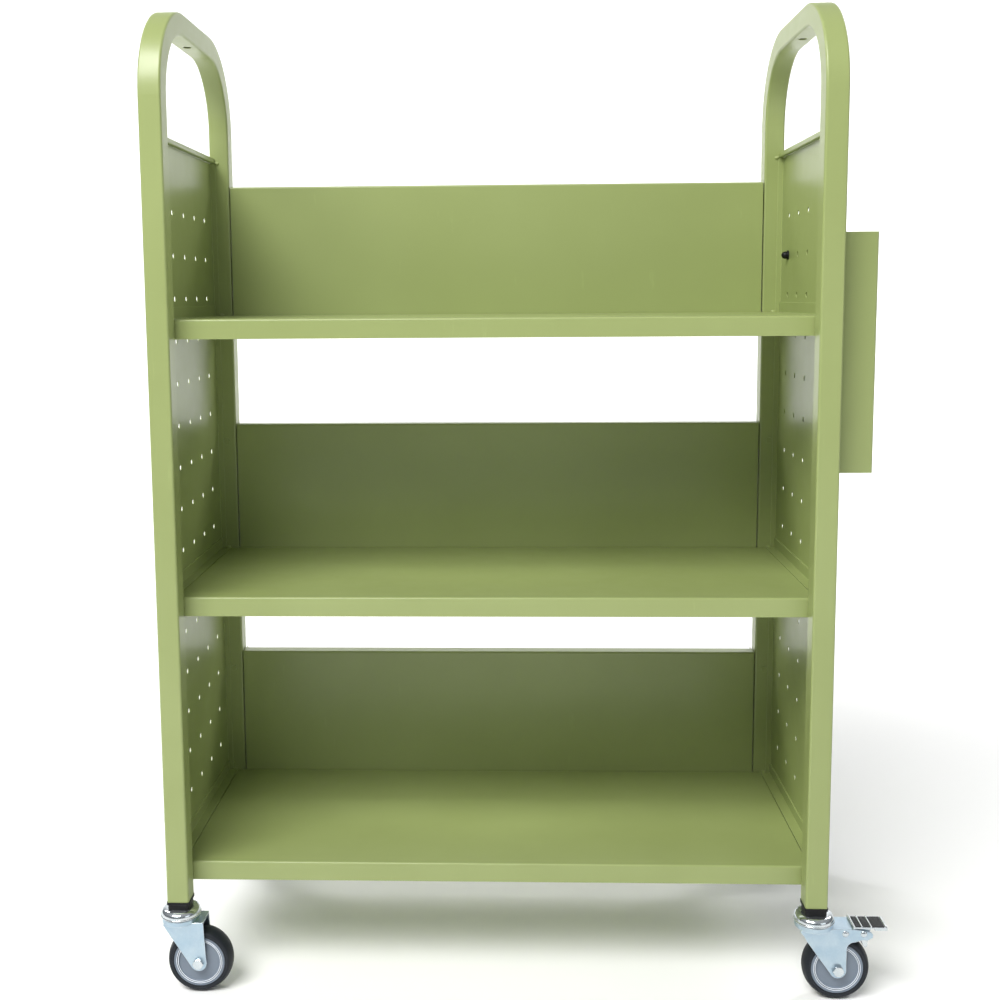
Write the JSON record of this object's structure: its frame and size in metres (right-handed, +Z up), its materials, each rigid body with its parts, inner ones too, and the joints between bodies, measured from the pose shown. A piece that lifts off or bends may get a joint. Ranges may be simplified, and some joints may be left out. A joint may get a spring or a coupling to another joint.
{
  "type": "book cart",
  "caption": "Flat-shelf book cart with bent tube handles, perforated side panels, back stops, a side file pocket and swivel casters, some with brakes.",
  "frame": {"origin": "on the floor under the middle of the cart's overall box, which reaches from the left casters' swivel caps to the right brake pedals' tips", "axes": "+Z up; +X to the right of someone facing the open shelves, along the shelves; the open front faces -Y and the back stops are at +Y"},
  "size_m": [0.8274, 0.351, 1.1177],
  "materials": {
    "green_paint": "satin pistachio green powder coat with a fine orange-peel texture",
    "zinc": "bright blue-white zinc plate on pressed steel",
    "steel_balls": "polished bearing balls with a film of grease",
    "black_plastic": "black moulded nylon",
    "wheel_grey": "blue-grey moulded wheel centre",
    "tyre": "charcoal thermoplastic rubber, lightly dusty"
  },
  "bodies": {
    "cart": {"left_side_frame": "green_paint", "right_side_frame": "green_paint", "left_side_panel": "green_paint", "right_side_panel": "green_paint", "left_top_rail": "green_paint", "right_top_rail": "green_paint", "left_bottom_shelf_rail": "green_paint", "left_middle_shelf_rail": "green_paint", "left_top_shelf_rail": "green_paint", "right_bottom_shelf_rail": "green_paint", "right_middle_shelf_rail": "green_paint", "right_top_shelf_rail": "green_paint", "bottom_shelf": "green_paint", "middle_shelf": "green_paint", "top_shelf": "green_paint", "shelf_screws": "zinc", "bottom_back_stop": "green_paint", "middle_back_stop": "green_paint", "top_back_stop": "green_paint", "back_stop_screws": "green_paint", "side_pocket": "green_paint", "pocket_bolts": "black_plastic", "pocket_nuts": "black_plastic", "front_left_leg_plug": "black_plastic", "front_left_caster_stem": "zinc", "front_left_swivel_balls": "steel_balls", "front_right_leg_plug": "black_plastic", "front_right_caster_stem": "zinc", "front_right_swivel_balls": "steel_balls", "rear_left_leg_plug": "black_plastic", "rear_left_caster_stem": "zinc", "rear_left_swivel_balls": "steel_balls", "rear_right_leg_plug": "black_plastic", "rear_right_caster_stem": "zinc", "rear_right_swivel_balls": "steel_balls"},
    "front_left_caster": {"front_left_fork": "zinc", "front_left_axle_bolt": "zinc", "front_left_axle_sleeve": "zinc"},
    "front_left_wheel": {"front_left_wheel_core": "wheel_grey", "front_left_tyre": "tyre"},
    "front_right_caster": {"front_right_fork": "zinc", "front_right_axle_bolt": "zinc", "front_right_axle_sleeve": "zinc", "front_right_brake_rivets": "zinc"},
    "front_right_wheel": {"front_right_wheel_core": "wheel_grey", "front_right_tyre": "tyre"},
    "front_right_pedal": {"front_right_brake_pedal": "zinc"},
    "rear_left_caster": {"rear_left_fork": "zinc", "rear_left_axle_bolt": "zinc", "rear_left_axle_sleeve": "zinc"},
    "rear_left_wheel": {"rear_left_wheel_core": "wheel_grey", "rear_left_tyre": "tyre"},
    "rear_right_caster": {"rear_right_fork": "zinc", "rear_right_axle_bolt": "zinc", "rear_right_axle_sleeve": "zinc", "rear_right_brake_rivets": "zinc"},
    "rear_right_wheel": {"rear_right_wheel_core": "wheel_grey", "rear_right_tyre": "tyre"},
    "rear_right_pedal": {"rear_right_brake_pedal": "zinc"}
  },
  "joints": [
    {"name": "front_left_swivel", "type": "hinge", "parent": "cart", "child": "front_left_caster", "pos_m": [-0.39075, -0.1525, 0.0863], "axis": [0, 0, 1], "continuous": true},
    {"name": "front_left_roll", "type": "hinge", "parent": "front_left_caster", "child": "front_left_wheel", "pos_m": [-0.36875, -0.1525, 0.0375], "axis": [0, 1, 0], "continuous": true},
    {"name": "front_right_swivel", "type": "hinge", "parent": "cart", "child": "front_right_caster", "pos_m": [0.33425, -0.1525, 0.0863], "axis": [0, 0, 1], "continuous": true},
    {"name": "front_right_roll", "type": "hinge", "parent": "front_right_caster", "child": "front_right_wheel", "pos_m": [0.35925, -0.1525, 0.0375], "axis": [0, 1, 0], "continuous": true},
    {"name": "front_right_brake", "type": "hinge", "parent": "front_right_caster", "child": "front_right_pedal", "pos_m": [0.38725, -0.1525, 0.081], "axis": [0, 1, 0], "range_deg": [0, 10]},
    {"name": "rear_left_swivel", "type": "hinge", "parent": "cart", "child": "rear_left_caster", "pos_m": [-0.39075, 0.1525, 0.0863], "axis": [0, 0, 1], "continuous": true},
    {"name": "rear_left_roll", "type": "hinge", "parent": "rear_left_caster", "child": "rear_left_wheel", "pos_m": [-0.36875, 0.1525, 0.0375], "axis": [0, 1, 0], "continuous": true},
    {"name": "rear_right_swivel", "type": "hinge", "parent": "cart", "child": "rear_right_caster", "pos_m": [0.33425, 0.1525, 0.0863], "axis": [0, 0, 1], "continuous": true},
    {"name": "rear_right_roll", "type": "hinge", "parent": "rear_right_caster", "child": "rear_right_wheel", "pos_m": [0.35925, 0.1525, 0.0375], "axis": [0, 1, 0], "continuous": true},
    {"name": "rear_right_brake", "type": "hinge", "parent": "rear_right_caster", "child": "rear_right_pedal", "pos_m": [0.38725, 0.1525, 0.081], "axis": [0, 1, 0], "range_deg": [0, 10]}
  ]
}
